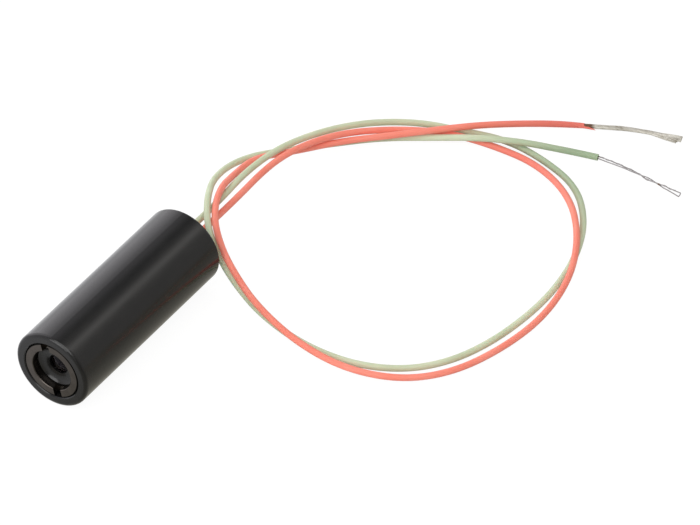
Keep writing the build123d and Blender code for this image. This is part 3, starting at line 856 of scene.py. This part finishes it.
def dark_spots(tree, place):
    """One in the middle of each dark spot, fading to none at its edge."""
    darkness = None
    for centre, reach in DARK_SPOTS:
        away = distance_from(tree, place, centre)
        near = map_range(tree, away, (reach * DARK_SPOT_CORE, reach), (1.0, 0.0))
        darkness = near if darkness is None else math_node(tree, "MAXIMUM", darkness, near)
    return darkness


def tinned_wire():
    """Tin in patches, one darker colour on the green lead's strands, and dark spots."""
    material, tree, shader, place = new_material("tinned", TIN_COLOUR, TIN_PLAIN_ROUGHNESS,
                                                 TIN_METALLIC)
    drawn = scaled(tree, place, TIN_STRETCH)
    patches = noise(tree, drawn, TIN_PATCHES, TIN_PATCH_DETAIL)
    away = distance_from(tree, place, FINE_TIN_CENTRE)
    on_green = math_node(tree, "LESS_THAN", away, FINE_TIN_REACH)
    colour = mixed(tree, on_green, ramp(tree, patches, TIN_COLOURS), FINE_TIN)
    colour = mixed(tree, dark_spots(tree, place), colour, DARK_SPOT_COLOUR)
    tree.links.new(colour, shader.inputs["Base Color"])
    rough = map_range(tree, patches, NOISE_SPAN, TIN_ROUGHNESS)
    tree.links.new(rough, shader.inputs["Roughness"])
    bump(tree, shader, noise(tree, drawn, TIN_GRAIN, GRAIN_DETAIL), TIN_GRAIN_DEPTH)
    return material


def clear(name, tint, roughness, ior, shine):
    """Clear glass or plastic with a tint and a trace of unevenness; the lens's dark tint is
    painted shade.
    """
    material, tree, shader, place = new_material(name, tint, roughness, 0.0, ior)
    shader.inputs["Specular Tint"].default_value = (*shine, 1)
    shader.inputs["Transmission Weight"].default_value = 1.0
    dimmed = tuple(CLEAR_DIMMING * part for part in tint)
    colour = ramp(tree, noise(tree, place, CLEAR_PATCHES), list(zip(NOISE_SPAN, (tint, dimmed))))
    tree.links.new(colour, shader.inputs["Base Color"])
    return material


def board_laminate():
    """Green solder mask over copper tracks, with the glass weave showing faintly."""
    material, tree, shader, place = new_material("laminate", BOARD_COLOUR,
                                                 BOARD_PLAIN_ROUGHNESS)
    weave = noise(tree, scaled(tree, place, BOARD_STRETCH), BOARD_WEAVE)
    tracks = tree.nodes.new("ShaderNodeTexBrick")
    tracks.inputs["Scale"].default_value = TRACK_SCALE
    tracks.inputs["Mortar Size"].default_value = TRACK_GAP
    tracks.inputs["Color1"].default_value = (*TRACK_COLOURS[0], 1)
    tracks.inputs["Color2"].default_value = (*TRACK_COLOURS[1], 1)
    tracks.inputs["Mortar"].default_value = (*TRACK_EDGE_COLOUR, 1)
    tree.links.new(place, tracks.inputs["Vector"])
    tree.links.new(tracks.outputs["Color"], shader.inputs["Base Color"])
    rough = map_range(tree, weave, NOISE_SPAN, BOARD_ROUGHNESS)
    tree.links.new(rough, shader.inputs["Roughness"])
    bump(tree, shader, weave, BOARD_WEAVE_DEPTH)
    return material


def make_materials():
    """The finish for each of the record's material slots."""
    materials = {
        "board_laminate": board_laminate(),
        "green_insulation": insulation("green_pvc", GREEN_PVC, GREEN_ROUTE[-1], GREEN_PAINTED_SHADE),
        "red_insulation": insulation("red_pvc", RED_PVC, RED_ROUTE[-1], RED_PAINTED_SHADE),
        "tinned_copper": tinned_wire(),
    }
    for make, rows in ((mottled, MOTTLED), (turned, TURNED), (clear, CLEAR)):
        for slot, row in rows.items():
            materials[slot] = make(*row)
    return materials


def dress(materials):
    """Gives every piece and every node the finish of the slots on its mesh."""
    for obj in bpy.context.scene.objects:
        if obj.type == "MESH":
            for holder in obj.material_slots:
                name = holder.material.name.split(".")[0] if holder.material else ""
                if name in materials:
                    holder.material = materials[name]


# Light, floor and camera

def ray_kinds(tree, names):
    """One where a ray is of any of the named kinds, else none."""
    path = tree.nodes.new("ShaderNodeLightPath")
    total = path.outputs[names[0]]
    for name in names[1:]:
        total = math_node(tree, "MAXIMUM", total, path.outputs[name])
    return total


def studio_levels(tree, direction):
    """The studio's brightness across the barrel, from one side to the other."""
    across = math_node(tree, "MULTIPLY", separated(tree, direction)["X"], 0.5)
    across = math_node(tree, "ADD", across, 0.5)
    stops = []
    for x, level, warmth in STUDIO_LEVELS:
        share = level / STUDIO_SCALE
        red = 1 + max(warmth, 0.0)
        green = 1 - STUDIO_COOL_GREEN * max(-warmth, 0.0)
        blue = 1 - STUDIO_WARM_BLUE * warmth
        stops.append(((x + 1) / 2, (share * red, share * green, share * blue)))
    return ramp(tree, across, stops)


def studio_strength(tree, direction):
    """The studio's strength, lower in front of the barrel's lens end."""
    levels = (STUDIO_SCALE * STUDIO_FRONT_SHARE, STUDIO_SCALE)
    return map_range(tree, separated(tree, direction)["Y"], STUDIO_FRONT_SPAN, levels)


def make_world():
    """White behind the object, and a plain soft studio for all that lights it."""
    world = bpy.data.worlds.new("studio")
    bpy.context.scene.world = world
    world.use_nodes = True
    tree = world.node_tree
    tree.nodes.clear()
    direction = tree.nodes.new("ShaderNodeTexCoord").outputs["Generated"]
    studio = tree.nodes.new("ShaderNodeBackground")
    tree.links.new(studio_strength(tree, direction), studio.inputs["Strength"])
    tree.links.new(studio_levels(tree, direction), studio.inputs["Color"])
    white = tree.nodes.new("ShaderNodeBackground")
    white.inputs["Color"].default_value = (1, 1, 1, 1)
    white.inputs["Strength"].default_value = 1.0
    mix = tree.nodes.new("ShaderNodeMixShader")
    seen = ray_kinds(tree, ("Is Camera Ray", "Is Transmission Ray"))
    tree.links.new(seen, mix.inputs["Fac"])
    tree.links.new(studio.outputs["Background"], mix.inputs[1])
    tree.links.new(white.outputs["Background"], mix.inputs[2])
    output = tree.nodes.new("ShaderNodeOutputWorld")
    tree.links.new(mix.outputs["Shader"], output.inputs["Surface"])


def floor_glow(tree, place):
    """The floor's brightness in reflections, a painted reflection: bright on the left, dimmer on
    the right.
    """
    axes = separated(tree, place)
    across = math_node(tree, "MULTIPLY", axes["X"], 1 / FLOOR_GLOW_SPAN)
    across = math_node(tree, "ADD", across, 0.5)
    stops = []
    for x, colour in FLOOR_GLOW:
        shares = tuple(part / FLOOR_GLOW_SCALE for part in colour)
        stops.append((x / FLOOR_GLOW_SPAN + 0.5, shares))
    # painted reflection, dimmer in front of the lens end
    front = math_node(tree, "LESS_THAN", axes["Y"], FLOOR_FRONT_Y)
    dimmed = math_node(tree, "MULTIPLY", front, FLOOR_FRONT_GLOW - 1.0)
    level = math_node(tree, "MULTIPLY", math_node(tree, "ADD", dimmed, 1.0), FLOOR_GLOW_SCALE)
    return ramp(tree, across, stops), level


def floor_as_seen(tree):
    """A pale surface that keeps shadows, with some white of its own in the camera."""
    paper = tree.nodes.new("ShaderNodeBsdfDiffuse")
    camera = ray_kinds(tree, ("Is Camera Ray",))
    change = math_node(tree, "MULTIPLY", camera, FLOOR_SHADE_SEEN - FLOOR_SHADE)
    tree.links.new(math_node(tree, "ADD", change, FLOOR_SHADE), paper.inputs["Color"])
    white = tree.nodes.new("ShaderNodeEmission")
    white.inputs["Color"].default_value = (1, 1, 1, 1)
    tree.links.new(math_node(tree, "MULTIPLY", camera, FLOOR_WHITE), white.inputs["Strength"])
    total = tree.nodes.new("ShaderNodeAddShader")
    tree.links.new(paper.outputs["BSDF"], total.inputs[0])
    tree.links.new(white.outputs["Emission"], total.inputs[1])
    return total.outputs["Shader"]


def floor_material():
    """The floor's material: one look for the camera, one for reflections."""
    material = bpy.data.materials.new("paper")
    material.use_nodes = True
    tree = material.node_tree
    tree.nodes.clear()
    place = tree.nodes.new("ShaderNodeTexCoord").outputs["Object"]
    mirrored = tree.nodes.new("ShaderNodeEmission")
    glow, level = floor_glow(tree, place)
    tree.links.new(glow, mirrored.inputs["Color"])
    tree.links.new(level, mirrored.inputs["Strength"])
    both = tree.nodes.new("ShaderNodeMixShader")
    tree.links.new(ray_kinds(tree, ("Is Glossy Ray", "Is Transmission Ray")), both.inputs["Fac"])
    tree.links.new(floor_as_seen(tree), both.inputs[1])
    tree.links.new(mirrored.outputs["Emission"], both.inputs[2])
    output = tree.nodes.new("ShaderNodeOutputMaterial")
    tree.links.new(both.outputs["Shader"], output.inputs["Surface"])
    return material


def make_floor():
    """A floor, white to the camera, that keeps the object's shadow and shows a painted
    reflection.
    """
    half = FLOOR_SIZE / 2
    corners = [(-half, -half, 0), (half, -half, 0), (half, half, 0), (-half, half, 0)]
    mesh = bpy.data.meshes.new("floor")
    mesh.from_pydata(corners, [], [(0, 1, 2, 3)])
    floor = link(mesh, "floor")
    mesh.materials.append(floor_material())


def make_lamp(name, direction, size, power):
    """A large soft light in a direction from the object."""
    data = bpy.data.lights.new(name, "AREA")
    data.shape = "DISK"
    data.size = size
    data.energy = power
    lamp = link(data, name)
    way = Vector(direction).normalized()
    lamp.location = Vector(CAMERA_TARGET) + way * LAMP_DISTANCE
    lamp.rotation_euler = way.to_track_quat("Z", "Y").to_euler()


def make_camera():
    """The camera at the photograph's place, with its long lens."""
    data = bpy.data.cameras.new("camera")
    data.lens = CAMERA_LENS
    data.sensor_width = SENSOR_WIDTH
    data.clip_start = CAMERA_NEAR
    camera = link(data, "camera")
    camera.location = CAMERA_PLACE
    way = Vector(CAMERA_TARGET) - Vector(CAMERA_PLACE)
    camera.rotation_euler = way.to_track_quat("-Z", "Y").to_euler()
    bpy.context.scene.camera = camera


# The scene

make_camera()
green_lead = make_lead("green_lead_insulation", GREEN_ROUTE, "green_lead")
red_lead = make_lead("red_lead_insulation", RED_ROUTE, "red_lead", RED_TORN_SHARE)
green_end = make_piece("green_lead_strands", green_strands(), "green_tinned_end")
red_end = make_piece("red_lead_strands", red_strands(), "red_tinned_end")
sliver = make_piece("red_lead_sliver", [torn_sliver()])
green_bead = make_piece("green_exit_bead", [exit_bead(GREEN_EXIT_X)], sides=BEAD_SIDES)
red_bead = make_piece("red_exit_bead", [exit_bead(RED_EXIT_X)], sides=BEAD_SIDES)
shortening_spring()

finishes = make_materials()
new_pieces = {
    green_lead: "green_insulation", red_lead: "red_insulation",
    green_end: "tinned_copper", red_end: "tinned_copper", sliver: "red_insulation",
    green_bead: "plug_black", red_bead: "plug_black",
}
for piece, slot in new_pieces.items():
    piece.data.materials.append(finishes[slot])
dress(finishes)

make_world()
make_floor()
make_lamp("key", KEY_DIRECTION, KEY_SIZE, KEY_POWER)
make_lamp("front", FRONT_DIRECTION, FRONT_SIZE, FRONT_POWER)

settings = bpy.context.scene.view_settings
settings.view_transform = "Standard"

bpy.context.view_layer.update()
